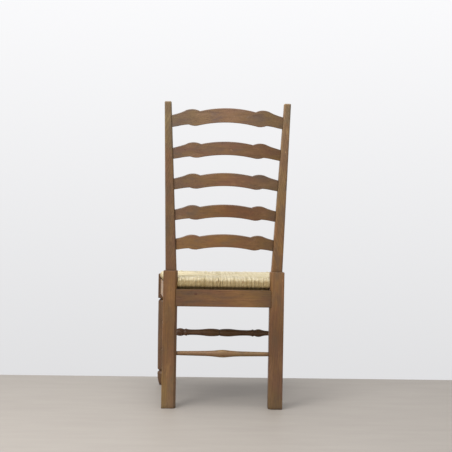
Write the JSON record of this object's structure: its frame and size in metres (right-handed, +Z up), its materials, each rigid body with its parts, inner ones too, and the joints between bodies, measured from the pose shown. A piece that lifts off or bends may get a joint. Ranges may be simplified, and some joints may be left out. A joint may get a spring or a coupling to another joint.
{
  "type": "dining chair",
  "caption": "Tall ladder-back dining chair with shaped slats, turned front legs and stretchers, and a woven rush seat.",
  "frame": {"origin": "on the floor, at the centre of the chair's bounding box", "axes": "+Z up, -Y towards the chair's front, +X towards the sitter's left"},
  "size_m": [0.497, 0.59, 1.062],
  "materials": {
    "leg_wood": "satin varnish, worn",
    "slat_wood": "satin varnish, worn",
    "apron_wood": "satin varnish, worn",
    "stretcher_wood": "satin varnish, worn",
    "rail_wood": "bare, unfinished",
    "rush": "twisted natural rush, dry and slightly shiny"
  },
  "bodies": {
    "root": {"rear_leg_left": "leg_wood", "front_leg_left": "leg_wood", "rear_leg_right": "leg_wood", "front_leg_right": "leg_wood", "back_slat_1": "slat_wood", "back_slat_2": "slat_wood", "back_slat_3": "slat_wood", "back_slat_4": "slat_wood", "back_slat_5": "slat_wood", "rear_apron": "apron_wood", "front_apron": "apron_wood", "side_apron_left": "apron_wood", "side_apron_right": "apron_wood", "seat_rail_rear": "rail_wood", "seat_rail_front": "rail_wood", "seat_rail_left": "rail_wood", "seat_rail_right": "rail_wood", "rush_seat": "rush", "front_stretcher": "stretcher_wood", "rear_stretcher": "stretcher_wood", "side_stretcher_upper_left": "stretcher_wood", "side_stretcher_upper_right": "stretcher_wood", "side_stretcher_lower_left": "stretcher_wood", "side_stretcher_lower_right": "stretcher_wood"}
  },
  "joints": []
}
